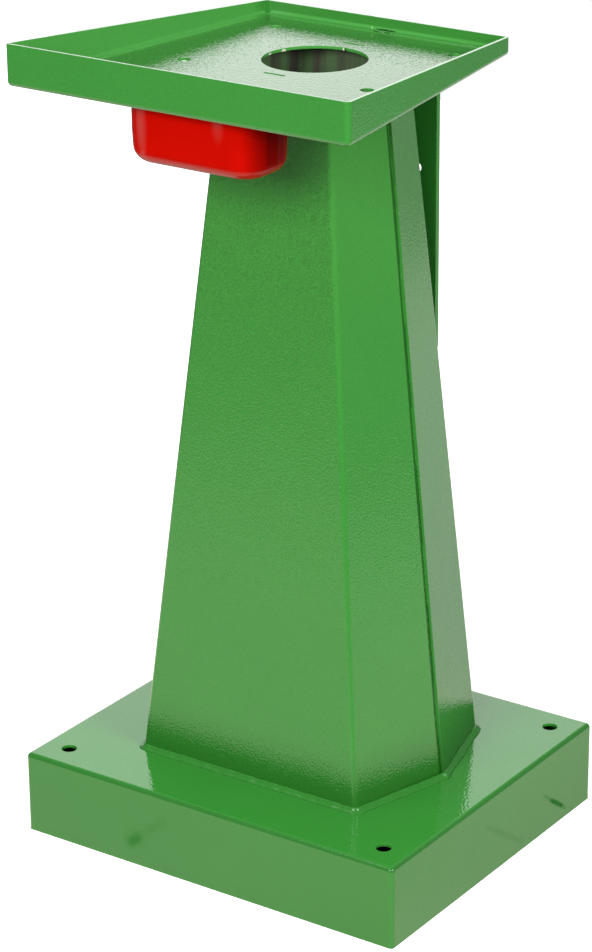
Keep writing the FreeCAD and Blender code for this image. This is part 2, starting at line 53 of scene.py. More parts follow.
def feed(tree, socket, value):
    """A socket takes a plain value or another node's output."""
    if isinstance(value, bpy.types.NodeSocket):
        tree.links.new(value, socket)
    else:
        socket.default_value = value


def put(tree, kind, inputs=None, **settings):
    """A new node with its inputs and settings."""
    node = tree.nodes.new(kind)
    for name, value in settings.items():
        setattr(node, name, value)
    for name, value in (inputs or {}).items():
        feed(tree, node.inputs[name], value)
    return node


def calc(tree, operation, first, second=0.0, third=0.0):
    inputs = {0: first, 1: second, 2: third}
    return put(tree, "ShaderNodeMath", inputs, operation=operation).outputs[0]


def combine(tree, operation, first, second=(0, 0, 0)):
    """Vector arithmetic that gives a vector."""
    node = put(tree, "ShaderNodeVectorMath", {0: first, 1: second}, operation=operation)
    return node.outputs["Vector"]


def measure(tree, operation, first, second=(0, 0, 0)):
    """Vector arithmetic that gives a number."""
    node = put(tree, "ShaderNodeVectorMath", {0: first, 1: second}, operation=operation)
    return node.outputs["Value"]


def scaled(tree, vector, factor):
    return put(tree, "ShaderNodeVectorMath", {0: vector, 3: factor}, operation="SCALE").outputs[0]


def split(tree, vector):
    """The vector's "X", "Y" and "Z"."""
    return put(tree, "ShaderNodeSeparateXYZ", {0: vector}).outputs


def facing(tree):
    """The direction in which the surface looks, before bumps and rounded edges."""
    return put(tree, "ShaderNodeTexCoord").outputs["Normal"]


def blend_colours(tree, share, low, high, how="MIX"):
    node = put(tree, "ShaderNodeMix", data_type="RGBA", blend_type=how)
    for socket, value in zip((0, 6, 7), (share, low, high)):
        feed(tree, node.inputs[socket], value)
    return node.outputs[2]


def noise(tree, place, size, detail=2.0, roughness=0.5):
    """Cloudy noise from 0 to 1 whose lumps have about the size given."""
    scale = calc(tree, "DIVIDE", 1.0, size)
    inputs = {"Vector": place, "Scale": scale, "Detail": detail, "Roughness": roughness}
    return put(tree, "ShaderNodeTexNoise", inputs).outputs["Fac"]


def wander(tree, place, size, detail=2.0):
    """The same noise, from -0.5 to 0.5."""
    return calc(tree, "SUBTRACT", noise(tree, place, size, detail), 0.5)


def ramp(tree, value, low, high):
    """0 below low, 1 above high, and smooth between."""
    inputs = {"Value": value, "From Min": low, "From Max": high}
    node = put(tree, "ShaderNodeMapRange", inputs, interpolation_type="SMOOTHSTEP")
    return node.outputs["Result"]


def fall(tree, value, low, high):
    """1 below low, 0 above high, and smooth between."""
    return calc(tree, "SUBTRACT", 1.0, ramp(tree, value, low, high))


def gap_between(tree, first, second):
    """How far two numbers lie apart."""
    return calc(tree, "ABSOLUTE", calc(tree, "SUBTRACT", first, second))


def new_group(name, inputs, outputs):
    """An empty node group. Inputs are name: default, outputs are name: socket type."""
    group = bpy.data.node_groups.new(name, "ShaderNodeTree")
    for socket, default in inputs.items():
        kind = "NodeSocketVector" if default is None else "NodeSocketFloat"
        made = group.interface.new_socket(name=socket, in_out="INPUT", socket_type=kind)
        if default is not None:
            made.default_value = default
    for socket, kind in outputs.items():
        group.interface.new_socket(name=socket, in_out="OUTPUT", socket_type=kind)
    start = group.nodes.new("NodeGroupInput").outputs
    end = group.nodes.new("NodeGroupOutput").inputs
    return group, start, end


def use_group(tree, group, **inputs):
    node = put(tree, "ShaderNodeGroup", node_tree=group)
    for name, value in inputs.items():
        feed(tree, node.inputs[name.replace("_", " ").capitalize()], value)
    return node.outputs


# ---- Effects shared by the finishes ---------------------------------------------------------

# 1 minus the cosine by which a rounded edge turns, where its painted highlight starts and is full.
EDGE_TURN = (0.01, 0.2)
BEVEL_SAMPLES = 6

SPECK_SIZE = 7 * MM
MOTTLE_SIZE = 2 * MM

# How far a mark's outline and a streak's width wander, and their lumps, as shares of their size.
MARK_LUMPS = 0.7
STREAK_LUMPS = 0.8
STREAK_FRAY = 0.8

# A face looks inwards where the cosine between it and the spoke from the axis is below this.
LOOKS_INWARD = -0.3

# Drips are noise drawn out along Z.
DRIP_STRETCH = (1, 1, 0.06)
DRIP_WIDTH = 16 * MM
DRIP_EDGE = (0.35, 0.65)


def make_peel():
    """Orange peel of a baked powder coat, over the slow waviness of the sheet below it."""
    group, given, result = new_group(
        "orange_peel",
        {"Place": None, "Grain": 3 * MM, "Depth": 0.2 * MM, "Wave": 60 * MM, "Swell": 0.2 * MM},
        {"Height": "NodeSocketFloat"},
    )
    grain = wander(group, given["Place"], given["Grain"], detail=0.5)
    wave = wander(group, given["Place"], given["Wave"], detail=1.0)
    fine = calc(group, "MULTIPLY", grain, given["Depth"])
    height = calc(group, "MULTIPLY_ADD", wave, given["Swell"], fine)
    group.links.new(height, result["Height"])
    return group


def make_soft_edge():
    """Normals rounded over each edge by the thickness of the coat, and a mask of those edges."""
    group, given, result = new_group(
        "soft_edge",
        {"Radius": 0.8 * MM},
        {"Normal": "NodeSocketVector", "Edge": "NodeSocketFloat"},
    )
    rounded = put(group, "ShaderNodeBevel", {"Radius": given["Radius"]}, samples=BEVEL_SAMPLES)
    flat = put(group, "ShaderNodeNewGeometry")
    turn = measure(group, "DOT_PRODUCT", rounded.outputs[0], flat.outputs["Normal"])
    edge = ramp(group, calc(group, "SUBTRACT", 1.0, turn), *EDGE_TURN)
    group.links.new(rounded.outputs[0], result["Normal"])
    group.links.new(edge, result["Edge"])
    return group


def make_tone():
    """Slow changes of tone in a coat, as a factor round 1, and of its gloss, round 0."""
    group, given, result = new_group(
        "coat_tone",
        {"Place": None, "Patch": 90 * MM, "Change": 0.1, "Mottle": 0.25, "Gloss change": 0.06},
        {"Tone": "NodeSocketFloat", "Gloss": "NodeSocketFloat"},
    )
    cloud = wander(group, given["Place"], given["Patch"], detail=3.0)
    speck = wander(group, given["Place"], SPECK_SIZE, detail=3.0)
    mottle = wander(group, given["Place"], MOTTLE_SIZE, detail=1.0)
    slow = calc(group, "MULTIPLY_ADD", cloud, given["Change"], 1.0)
    tone = calc(group, "MULTIPLY_ADD", mottle, given["Mottle"], slow)
    gloss = calc(group, "MULTIPLY", speck, given["Gloss change"])
    group.links.new(tone, result["Tone"])
    group.links.new(gloss, result["Gloss"])
    return group


def make_mark():
    """A frayed mark, 1 inside and 0 outside. Its spread holds its half-length along each axis."""
    group, given, result = new_group(
        "paint_mark",
        {"Place": None, "Spot": None, "Spread": None, "Fray": 0.5, "Softness": 0.3},
        {"Mark": "NodeSocketFloat"},
    )
    away = combine(group, "SUBTRACT", given["Place"], given["Spot"])
    share = combine(group, "DIVIDE", away, given["Spread"])
    far = measure(group, "LENGTH", share)
    lumps = wander(group, share, MARK_LUMPS)
    reach = calc(group, "MULTIPLY_ADD", lumps, given["Fray"], far)
    inner = calc(group, "SUBTRACT", 1.0, given["Softness"])
    group.links.new(fall(group, reach, inner, 1.0), result["Mark"])
    return group


def make_streak():
    """A streak between two spots, 1 along its middle and 0 outside its width."""
    group, given, result = new_group(
        "streak_mark",
        {"Place": None, "Start": None, "End": None, "Width": 8 * MM},
        {"Mark": "NodeSocketFloat"},
    )
    run = combine(group, "SUBTRACT", given["End"], given["Start"])
    gone = combine(group, "SUBTRACT", given["Place"], given["Start"])
    along = measure(group, "DOT_PRODUCT", gone, run)
    share = calc(group, "DIVIDE", along, measure(group, "DOT_PRODUCT", run, run))
    share = calc(group, "MINIMUM", calc(group, "MAXIMUM", share, 0.0), 1.0)
    aside = measure(group, "DISTANCE", gone, scaled(group, run, share))
    lump_size = calc(group, "MULTIPLY", given["Width"], STREAK_LUMPS)
    lumps = wander(group, given["Place"], lump_size)
    off = calc(group, "DIVIDE", aside, given["Width"])
    reach = calc(group, "MULTIPLY_ADD", lumps, STREAK_FRAY, off)
    group.links.new(fall(group, reach, 0.0, 1.0), result["Mark"])
    return group


def make_inward():
    """Masks of faces towards an upright axis and of drips, and how much each face looks up."""
    group, given, result = new_group(
        "inward_faces",
        {"Place": None, "Axis": None},
        {"Inward": "NodeSocketFloat", "Level": "NodeSocketFloat", "Streak": "NodeSocketFloat"},
    )
    spoke = combine(group, "SUBTRACT", given["Place"], given["Axis"])
    level = combine(group, "NORMALIZE", combine(group, "MULTIPLY", spoke, (1, 1, 0)))
    looks = facing(group)
    inward = calc(group, "LESS_THAN", measure(group, "DOT_PRODUCT", level, looks), LOOKS_INWARD)
    drawn_out = combine(group, "MULTIPLY", given["Place"], DRIP_STRETCH)
    streak = ramp(group, noise(group, drawn_out, DRIP_WIDTH, detail=3.0), *DRIP_EDGE)
    group.links.new(inward, result["Inward"])
    group.links.new(split(group, looks)["Z"], result["Level"])
    group.links.new(streak, result["Streak"])
    return group


PEEL = make_peel()
SOFT_EDGE = make_soft_edge()
TONE = make_tone()
MARK = make_mark()
STREAK = make_streak()
INWARD = make_inward()

# ---- Colours and places of the finishes -----------------------------------------------------

GREEN = (0.031, 0.215, 0.027, 1)
# Painted light and shade among the colours below: the paler edges, rims and fold line, and the
# darker rear rim, bends, gaps, tray floor, skirt streaks, column foot, weld beads and seam.
EDGE_HIGHLIGHT_GREEN = (0.05, 0.28, 0.045, 1)
RIM_LIGHT_GREEN = (0.057, 0.276, 0.047, 1)
REAR_RIM_SHADE_GREEN = (0.035, 0.198, 0.028, 1)
FOLD_HIGHLIGHT_GREEN = (0.07, 0.31, 0.06, 1)
BEND_SHADE_GREEN = (0.02, 0.15, 0.017, 1)
GAP_SHADE_GREEN = (0.006, 0.03, 0.005, 1)
TRAY_FLOOR_SHADE_GREEN = (0.036, 0.178, 0.03, 1)
DARK_REFLECTION_GREEN = (0.01, 0.12, 0.008, 1)
FOOT_SHADE_GREEN = (0.016, 0.122, 0.012, 1)
BEAD_SHADE_GREEN = (0.024, 0.165, 0.02, 1)
SEAM_SHADE_GREEN = (0.012, 0.085, 0.01, 1)
PALE_GREEN = (0.22, 0.45, 0.17, 1)
THIN_COAT = (0.07, 0.14, 0.05, 1)
BARE_STEEL = (0.05, 0.045, 0.036, 1)
PRIMER = (0.62, 0.6, 0.5, 1)
POT_RED = (0.49, 0.003, 0.0005, 1)
WHITE = (1, 1, 1, 1)

COAT_IOR = 1.45

# Shading that is painted in and doesn't come from the lamps. High on the column a painted tint
# makes the coat warmer and paler, and its front is more mottled there; at its foot a painted
# shade, a dark band, fades out.
COARSE_HEIGHTS = (0.45, 0.72)
COARSE_MOTTLE = 0.75
LOOKS_FORWARD = (-0.95, -0.8)
HIGH_TINT = (1.32, 1.05, 1.15, 1)
FOOT_SHADE = (0.088, 0.155)

# Painted shade: the tray's rear rim is darker from the first of these places along Y, fully at the
# second.
REAR_RIM = (0.125, 0.148)

# The tray's side folds lie where slant * y + |x| is the reach, and its rear fold at a y. A paler
# band, a painted reflection of the rims, runs along them on the floor, and a narrow painted
# highlight at the height where rims and floor meet.
FOLD_SLANT = 0.14245
FOLD_REACH = 0.16088
REAR_FOLD = 0.1477
FOLD_BAND = (1 * MM, 9 * MM)
FOLD_HEIGHT = 0.8155
FOLD_LINE = (0.4 * MM, 3 * MM)
LOOKS_UP = 0.9

# Painted shade: the base's folded edges are darker where they turn from upright to level.
BEND_START = (0.05, 0.3)
BEND_END = (0.85, 0.98)

# The lapping edge's place along Y at the floor and how much it leans back with the height, and
# the width of the painted shade line in the gap beside it.
SEAM_FOOT = 0.0091
SEAM_LEAN = 0.02082
SEAM_LINE = (0.6 * MM, 1.8 * MM)

# What a thin coat, a streak of painted dark reflection and a chip add to the roughness.
THIN_ROUGHNESS = 0.5
STREAK_ROUGHNESS = 0.9
SPOT_ROUGHNESS = 0.4

# Chips, specks, and painted shade in gaps and slots: middle, half-lengths and colour.
TRAY_SPOTS = [
    ((-0.0488, 0.0454, 0.8092), (3.5 * MM, 3 * MM, 1.6 * MM), PRIMER),
    ((-0.0520, 0.0262, 0.8095), (3 * MM, 3 * MM, 1.1 * MM), PRIMER),
    ((-0.0015, 0.0795, 0.8093), (1.2 * MM, 3 * MM, 2 * MM), PRIMER),
    ((0.0012, 0.0795, 0.8088), (1.2 * MM, 3 * MM, 2.6 * MM), GAP_SHADE_GREEN),
    ((-0.0140, 0.1495, 0.8150), (1.3 * MM, 3 * MM, 1.6 * MM), PALE_GREEN),
    ((0.0030, 0.1495, 0.8145), (14 * MM, 4 * MM, 0.9 * MM), GAP_SHADE_GREEN),
]
COLUMN_SPOTS = [((0.1652, 0.0125, 0.095), (1.8 * MM, 1.8 * MM, 1.8 * MM), PRIMER)]
# Painted glints at the near corner of the column's foot weld, and a painted highlight on the
# tray's rear corner weld.
WELD_GLINTS = [
    ((0.1335, -0.1030, 0.0925), (1.6 * MM, 1.6 * MM, 1.6 * MM), PRIMER),
    ((0.1305, -0.1040, 0.0945), (0.8 * MM, 0.8 * MM, 0.8 * MM), PRIMER),
    ((-0.1420, 0.1500, 0.8240), (3 * MM, 3 * MM, 8 * MM), EDGE_HIGHLIGHT_GREEN),
]

# Streaks of painted dark reflection on the base's skirt, which also raise its roughness: start,
# end, width and strength.
BASE_DARK_STREAKS = [
    ((-0.0905, -0.1805, 0.026), (-0.085, -0.1805, 0.031), 15 * MM, 0.5),
    ((-0.0905, -0.1805, 0.024), (-0.052, -0.1805, 0.058), 10 * MM, 0.3),
    ((0.2265, 0.110, 0.042), (0.2265, 0.153, 0.010), 5 * MM, 0.5),
    ((0.2265, 0.124, 0.031), (0.2265, 0.146, 0.016), 4 * MM, 0.8),
    ((0.2265, -0.004, 0.056), (0.2265, 0.065, 0.010), 6 * MM, 0.35),
]

# The pot's own gloss is faint. Its gleams and a band round its bottom edge carry a clear gloss
# over it, placed so that highlights and a reflection of the floor show just there.
POT_IOR = 1.06
POT_ROUGHNESS = 0.2
CLEAR_IOR = 1.7
CLEAR_ROUGHNESS = 0.07

# Heights between which the bottom band's gloss comes in and goes out, and its strength.
BOTTOM_BAND_IN = (0.746, 0.7505)
BOTTOM_BAND_OUT = (0.7560, 0.7600)
BOTTOM_BAND_GLOSS = 0.32

# The gleams, placed highlights: middle, half-lengths and strength, with how frayed and how soft
# they are.
POT_GLEAMS = [
    ((-0.0515, -0.184, 0.785), (9 * MM, 12 * MM, 38 * MM), 1.0),
    ((0.0366, -0.186, 0.799), (9 * MM, 12 * MM, 22 * MM), 0.65),
]
GLEAM_FRAY = 0.3
GLEAM_SOFTNESS = 0.9

# Painted shade on the pot's ends, darker the more they look sideways: range of the turn and change
# of tone.
END_SHADES = [((0.4, 1.0), -0.48), ((0.93, 1.0), -0.2)]

# ---- Finishes -------------------------------------------------------------------------------


def new_material(name):
    material = bpy.data.materials.new(name)
    material.use_nodes = True
    tree = material.node_tree
    shader = tree.nodes["Principled BSDF"]
    place = tree.nodes.new("ShaderNodeTexCoord").outputs["Object"]
    return material, tree, shader, place


def give(tree, shader, **inputs):
    """Links or sets the shader's inputs by name."""
    for name, value in inputs.items():
        feed(tree, shader.inputs[name.replace("_", " ")], value)


def paint_well(tree, place, axis, along, paint):
    """Painted light and shade on the tray's rims, its floor, and the fold between them."""
    inner = use_group(tree, INWARD, place=place, axis=axis)
    rims = inner["Inward"]
    # Painted light: the rims are paler.
    paint = blend_colours(tree, rims, paint, RIM_LIGHT_GREEN)
    # Painted shade: the rear rim is darker.
    rear = calc(tree, "MULTIPLY", rims, ramp(tree, along["Y"], *REAR_RIM))
    paint = blend_colours(tree, rear, paint, REAR_RIM_SHADE_GREEN)
    # Painted shade: the tray's level floor is darker and duller.
    floor = calc(tree, "GREATER_THAN", inner["Level"], LOOKS_UP)
    paint = blend_colours(tree, floor, paint, TRAY_FLOOR_SHADE_GREEN)
    # Painted reflection of the rims: a paler band on the floor along the folds.
    beside = calc(tree, "ABSOLUTE", along["X"])
    slanted = calc(tree, "MULTIPLY_ADD", along["Y"], FOLD_SLANT, beside)
    off_side = calc(tree, "SUBTRACT", FOLD_REACH, slanted)
    off_rear = calc(tree, "SUBTRACT", REAR_FOLD, along["Y"])
    band = fall(tree, calc(tree, "MINIMUM", off_side, off_rear), *FOLD_BAND)
    paint = blend_colours(tree, calc(tree, "MULTIPLY", floor, band), paint, RIM_LIGHT_GREEN)
    # Painted highlight: a narrow line along the fold at the foot of the rims.
    off_fold = gap_between(tree, along["Z"], FOLD_HEIGHT)
    line = calc(tree, "SUBTRACT", rims, ramp(tree, off_fold, *FOLD_LINE))
    return blend_colours(tree, calc(tree, "MAXIMUM", line, 0.0), paint, FOLD_HIGHLIGHT_GREEN)


def paint_foot_and_seam(tree, along, paint):
    """Painted shade: the dark band at the column's foot and the dark line along its lapping edge.
    """
    paint = blend_colours(tree, fall(tree, along["Z"], *FOOT_SHADE), paint, FOOT_SHADE_GREEN)
    behind = calc(tree, "MULTIPLY_ADD", along["Z"], -SEAM_LEAN, along["Y"])
    line = fall(tree, gap_between(tree, behind, SEAM_FOOT), *SEAM_LINE)
    return blend_colours(tree, line, paint, SEAM_SHADE_GREEN)


def powder_coat(
    name, body=GREEN, gloss=0.09, shine=0.5, mottle=0.25, grain=1.9 * MM, depth=0.3 * MM,
    swell=0.3 * MM, bends=False, hollow=None, well=None, dark_streaks=(), spots=(),
):
    """Baked green coat over folded sheet: chips, painted edge highlights, streaks of painted dark
    reflection.

    The hollow is the column's upright axis: surfaces that look towards it have a thin coat, and it
    brings the painted light and shade of the column. The well is the tray's upright axis: surfaces
    that look towards it are its rims, which with the floor get painted light and shade.
    """
    material, tree, shader, place = new_material(name)
    along = split(tree, place)
    if hollow:
        front = fall(tree, split(tree, facing(tree))["Y"], *LOOKS_FORWARD)
        high_up = ramp(tree, along["Z"], *COARSE_HEIGHTS)
        coarse = calc(tree, "MULTIPLY", front, high_up)
        mottle = calc(tree, "MULTIPLY_ADD", coarse, COARSE_MOTTLE, mottle)
    tone = use_group(tree, TONE, place=place, mottle=mottle)
    edge = use_group(tree, SOFT_EDGE)
    peel = use_group(tree, PEEL, place=place, grain=grain, depth=depth, swell=swell)
    paint = scaled(tree, body[:3], tone["Tone"])
    # Painted light: a warmer, paler tint high on the column.
    if hollow:
        tint = blend_colours(tree, high_up, WHITE, HIGH_TINT)
        paint = blend_colours(tree, 1.0, paint, tint, how="MULTIPLY")
    # Painted highlight: a paler tone along every rounded edge.
    paint = blend_colours(tree, edge["Edge"], paint, EDGE_HIGHLIGHT_GREEN)
    roughness = calc(tree, "ADD", tone["Gloss"], gloss)
    # Painted shade along the base's bends.
    if bends:
        level = use_group(tree, INWARD, place=place)["Level"]
        turned = ramp(tree, level, *BEND_START)
        turned = calc(tree, "SUBTRACT", turned, ramp(tree, level, *BEND_END))
        paint = blend_colours(tree, turned, paint, BEND_SHADE_GREEN)
    if hollow:
        inner = use_group(tree, INWARD, place=place, axis=hollow)
        thin = blend_colours(tree, inner["Streak"], THIN_COAT, BARE_STEEL)
        paint = blend_colours(tree, inner["Inward"], paint, thin)
        roughness = calc(tree, "MULTIPLY_ADD", inner["Inward"], THIN_ROUGHNESS, roughness)
        # Painted shade at the column's foot and along its lapping edge.
        paint = paint_foot_and_seam(tree, along, paint)
    if well:
        # Painted light and shade on the tray's rims, floor and folds.
        paint = paint_well(tree, place, well, along, paint)
    # Streaks of painted dark reflection, which also raise the roughness.
    for start, end, width, strength in dark_streaks:
        dark_streak = use_group(tree, STREAK, place=place, start=start, end=end, width=width)["Mark"]
        paint = blend_colours(tree, calc(tree, "MULTIPLY", dark_streak, strength), paint, DARK_REFLECTION_GREEN)
        roughness = calc(tree, "MULTIPLY_ADD", dark_streak, STREAK_ROUGHNESS * strength, roughness)
    # Chips and specks, with painted glints on the welds and painted shade in the tray's gaps.
    for spot, spread, colour in spots:
        mark = use_group(tree, MARK, place=place, spot=spot, spread=spread)["Mark"]
        paint = blend_colours(tree, mark, paint, colour)
        roughness = calc(tree, "MULTIPLY_ADD", mark, SPOT_ROUGHNESS, roughness)
    relief = {"Height": peel["Height"], "Normal": edge["Normal"], "Distance": 1.0}
    give(
        tree, shader,
        Base_Color=paint,
        Roughness=roughness,
        Normal=put(tree, "ShaderNodeBump", relief).outputs["Normal"],
        IOR=COAT_IOR,
        Specular_IOR_Level=shine,
    )
    return material


def gloss_plastic(name):
    """Red moulding with a faint gloss of its own, painted shade on its ends, and a clear gloss on
    its gleams and bottom edge.
    """
    material, tree, shader, place = new_material(name)
    tone = use_group(tree, TONE, place=place, patch=40 * MM, mottle=0.0, gloss_change=0.04)
    peel = use_group(
        tree, PEEL, place=place, grain=5 * MM, depth=0.01 * MM, wave=30 * MM, swell=0.15 * MM
    )
    # Painted shade on the ends.
    sideways = calc(tree, "ABSOLUTE", split(tree, facing(tree))["X"])
    shade = 0.0
    for turn, change in END_SHADES:
        shade = calc(tree, "MULTIPLY_ADD", ramp(tree, sideways, *turn), change, shade)
    strength = calc(tree, "MULTIPLY_ADD", shade, tone["Tone"], tone["Tone"])
    # Clear gloss on a band round the bottom edge, placed to show a reflection of the floor.
    height = split(tree, place)["Z"]
    bottom_band = ramp(tree, height, *BOTTOM_BAND_IN)
    bottom_band = calc(tree, "SUBTRACT", bottom_band, ramp(tree, height, *BOTTOM_BAND_OUT))
    clear = calc(tree, "MULTIPLY", bottom_band, BOTTOM_BAND_GLOSS)
    # The gleams: clear gloss placed so that highlights show just there.
    for spot, spread, share in POT_GLEAMS:
        gleam = use_group(
            tree, MARK, place=place, spot=spot, spread=spread, fray=GLEAM_FRAY,
            softness=GLEAM_SOFTNESS,
        )["Mark"]
        clear = calc(tree, "MULTIPLY_ADD", gleam, share, clear)
    relief = {"Height": peel["Height"], "Distance": 1.0}
    give(
        tree, shader,
        Base_Color=scaled(tree, POT_RED[:3], strength),
        Roughness=calc(tree, "ADD", tone["Gloss"], POT_ROUGHNESS),
        Normal=put(tree, "ShaderNodeBump", relief).outputs["Normal"],
        IOR=POT_IOR,
        Coat_Weight=calc(tree, "MINIMUM", clear, 1.0),
        Coat_Roughness=CLEAR_ROUGHNESS,
        Coat_IOR=CLEAR_IOR,
    )
    return material


def dress(node, material):
    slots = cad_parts[node].data.materials
    slots.clear()
    slots.append(material)


plate_coat = powder_coat("plate_powder_coat")
tray_coat = powder_coat(
    "tray_powder_coat", gloss=0.03, grain=2.1 * MM, depth=0.26 * MM, swell=0.06 * MM,
    well=(0, -0.0265, 0), spots=TRAY_SPOTS,
)
base_coat = powder_coat(
    "base_powder_coat", gloss=0.04, mottle=0.08, grain=2.6 * MM, depth=0.15 * MM, bends=True,
    dark_streaks=BASE_DARK_STREAKS,
)
column_coat = powder_coat(
    "column_powder_coat", gloss=0.06, grain=2 * MM, depth=0.26 * MM, hollow=(0, 0.02, 0),
    spots=COLUMN_SPOTS,
)
# Painted shade: the welds' coat is darker than the sheet's.
weld_coat = powder_coat(
    "weld_powder_coat", body=BEAD_SHADE_GREEN, gloss=0.16, shine=0.25, grain=5 * MM, depth=0.12 * MM,
    spots=WELD_GLINTS,
)
pot_gloss = gloss_plastic("pot_gloss_plastic")

COATS = {
    "base_box": base_coat,
    "column_front_shell": column_coat,
    "column_rear_shell": column_coat,
    "tray": tray_coat,
    "rear_plate": plate_coat,
    "coolant_pot": pot_gloss,
}
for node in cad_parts:
    dress(node, COATS.get(node, weld_coat))

# ---- Meshes ---------------------------------------------------------------------------------


def new_piece(name, points, faces, material, body):
    mesh = bpy.data.meshes.new(name)
    mesh.from_pydata(points, [], faces)
    mesh.materials.append(material)
    mesh.shade_smooth()
    piece = bpy.data.objects.new(name, mesh)
    bpy.context.scene.collection.objects.link(piece)
    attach(piece, body)
    return piece


def ring_faces(rings, count, closed):
    """Quads between rings of as many points each; closed joins the last ring to the first."""
    faces = []
    for ring in range(rings if closed else rings - 1):
        here = ring * count
        there = (ring + 1) % rings * count
        for i in range(count):
            after = (i + 1) % count
            faces.append((here + i, here + after, there + after, there + i))
    return faces


# ---- Coolant pot ----------------------------------------------------------------------------

POT_WIDTH = 155 * MM
POT_DEPTH = 76 * MM
POT_WALL = 2.5 * MM
POT_CORNER = 30 * MM
LEAST_CORNER = 3 * MM
POT_BOTTOM_RADIUS = 16 * MM
POT_RIM = 8 * MM
POT_DRAFT = math.tan(math.radians(1.4))
POT_BULGE = 0.7 * MM
LIP_RADIUS = 1.2 * MM
NECK_DROP = 3 * MM
RING_STEPS = 10
BOTTOM_STEPS = 8
LIP_STEPS = 6


def pot_ring(middle, inset, height, bulge):
    """One level loop of the pot, counter-clockwise, with rounded corners and fuller sides."""
    radius = max(POT_CORNER - inset, LEAST_CORNER)
    run_x = POT_WIDTH / 2 - inset - radius
    run_y = POT_DEPTH / 2 - inset - radius
    points = []
    for quarter in range(4):
        side_x = (1, -1, -1, 1)[quarter]
        side_y = (1, 1, -1, -1)[quarter]
        for step in range(RING_STEPS + 1):
            angle = math.pi / 2 * (quarter + step / RING_STEPS)
            x = side_x * run_x + radius * math.cos(angle)
            y = side_y * run_y + radius * math.sin(angle)
            points.append((x, y))
        half_side = run_x if quarter % 2 == 0 else run_y
        angle = math.pi / 2 * (quarter + 1)
        out_x = math.cos(angle)
        out_y = math.sin(angle)
        corner = (side_x * run_x + radius * out_x, side_y * run_y + radius * out_y)
        for step in range(1, RING_STEPS):
            share = step / RING_STEPS
            swell = bulge * math.sin(math.pi * share) ** 2
            x = corner[0] - out_y * 2 * half_side * share + out_x * swell
            y = corner[1] + out_x * 2 * half_side * share + out_y * swell
            points.append((x, y))
    return [(middle.x + x, middle.y + y, height) for x, y in points]


def arc(centre_inset, centre_height, radius, start, end, steps):
    """Points (inset, height) along an arc, by angles from straight outwards, in degrees."""
    points = []
    for step in range(steps + 1):
        angle = math.radians(start + (end - start) * step / steps)
        points.append(
            (centre_inset - radius * math.cos(angle), centre_height + radius * math.sin(angle))
        )
    return points


def make_pot():
    """The pot from the middle of its underside out, up over its lip and down to its inside."""
    low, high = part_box("coolant_pot")
    middle = (low + high) / 2
    top = high.z
    seat = top - POT_WALL
    depth = seat - low.z
    foot = POT_DRAFT * depth
    half_foot = POT_DRAFT * depth / 2
    half_way = seat - depth / 2
    neck = seat - NECK_DROP
    turn = (foot + POT_BOTTOM_RADIUS, low.z + POT_BOTTOM_RADIUS)
    bottom = arc(*turn, POT_BOTTOM_RADIUS, 0, -90, BOTTOM_STEPS)
    inside = arc(*turn, POT_BOTTOM_RADIUS - POT_WALL, -90, 0, BOTTOM_STEPS)
    lip = arc(-POT_RIM + LIP_RADIUS, top - LIP_RADIUS, LIP_RADIUS, -90, 90, LIP_STEPS)
    outline = [
        *reversed(bottom), (half_foot, half_way), (0.8 * MM, neck),
        (0.4 * MM, seat), (-POT_RIM + LIP_RADIUS * 2, seat), *lip,
        (-1 * MM, top), (POT_WALL - 0.6 * MM, top - 0.2 * MM), (POT_WALL + 0.3 * MM, top - 1 * MM),
        (POT_WALL + 0.5 * MM, neck), (POT_WALL + half_foot, half_way),
        *reversed(inside),
    ]
    points = []
    for inset, height in outline:
        walled = low.z + POT_BOTTOM_RADIUS * 0.6 < height < seat - 2 * MM
        points += pot_ring(middle, inset, height, POT_BULGE if walled else 0.0)
    count = len(points) // len(outline)
    faces = ring_faces(len(outline), count, closed=False)
    faces.append(tuple(reversed(range(count))))
    faces.append(tuple(range(len(points) - count, len(points))))
    pot = new_piece("pot_moulding", points, faces, pot_gloss, "pot")
    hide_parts("coolant_pot")


# ---- Weld beads -----------------------------------------------------------------------------

# How far a bead reaches into the column, how far its sections lie apart, and their steps.
BEAD_SINK = 1.2 * MM
BEAD_STEP = 2.2 * MM
SECTION_STEPS = 6

# How far a bead swells beyond the straight line between its toes, as shares of its leg, and how
# far its legs and that swelling wander, as shares of themselves.
FRONT_CROWN = -0.24
REAR_CROWN = 0.1
FRONT_LEG_WANDER = 0.05
REAR_LEG_WANDER = 0.12
FRONT_CROWN_WANDER = 0.3
REAR_CROWN_WANDER = 0.9

# Plan of the column at its foot and its top: half-widths of its faces and how its sides flare.
FOOT_FACE = 132 * MM
FOOT_HALF_DEPTH = 115 * MM
TOP_FACE = 62.5 * MM
TOP_HALF_DEPTH = 70 * MM
LAP = 3.5 * MM
FRONT_FLARE = math.tan(math.radians(14))
REAR_FLARE = math.tan(math.radians(15.5))
COLUMN_BEND = 5.8 * MM


def ripple(place, seed):
    """A steady wander between about -1 and 1 along a weld, from three waves that never line up."""
    return (
        math.sin(place / (9 * MM) + seed)
        + 0.7 * math.sin(place / (4.1 * MM) + 2.3 * seed)
        + 0.5 * math.sin(place / (2.3 * MM) + 3.1 * seed)
    ) / 2.2


def corner_arms(before, here, after):
    """Directions from a corner to both its neighbours, and half the angle between them."""
    back = (before - here).normalized()
    ahead = (after - here).normalized()
    return back, ahead, back.angle(ahead) / 2


